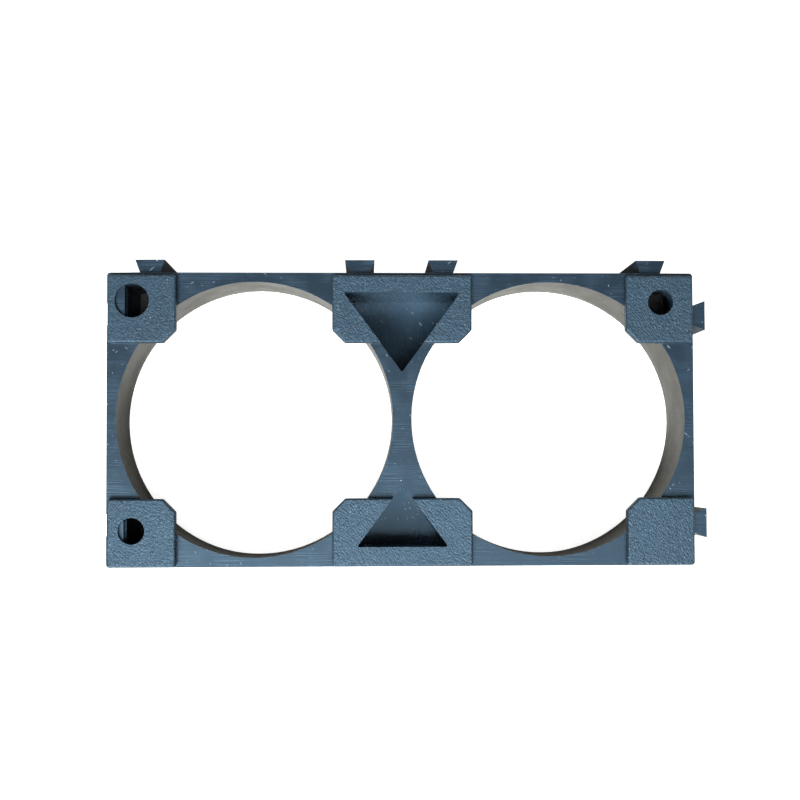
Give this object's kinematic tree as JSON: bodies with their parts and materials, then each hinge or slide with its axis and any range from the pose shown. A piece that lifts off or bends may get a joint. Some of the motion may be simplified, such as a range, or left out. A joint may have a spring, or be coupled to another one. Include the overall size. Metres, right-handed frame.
{
  "type": "battery cell holder bracket",
  "caption": "Moulded twin-bore bracket that spaces cylindrical battery cells on a square grid, with stop tabs, screw holes and dovetail keys and grooves to join more brackets.",
  "frame": {"origin": "centre of the open back face, on the web between the two bores", "axes": "+X along the row of cells towards the short side with the keys, +Y towards the long side with the keys, +Z along the bores from the open back to the stop tabs"},
  "size_m": [0.0708, 0.0362, 0.01],
  "materials": {
    "black_abs": "smooth black moulded plastic with a spark-eroded grain on the tabs"
  },
  "bodies": {
    "root": {"cell_holder": "black_abs"}
  },
  "joints": []
}
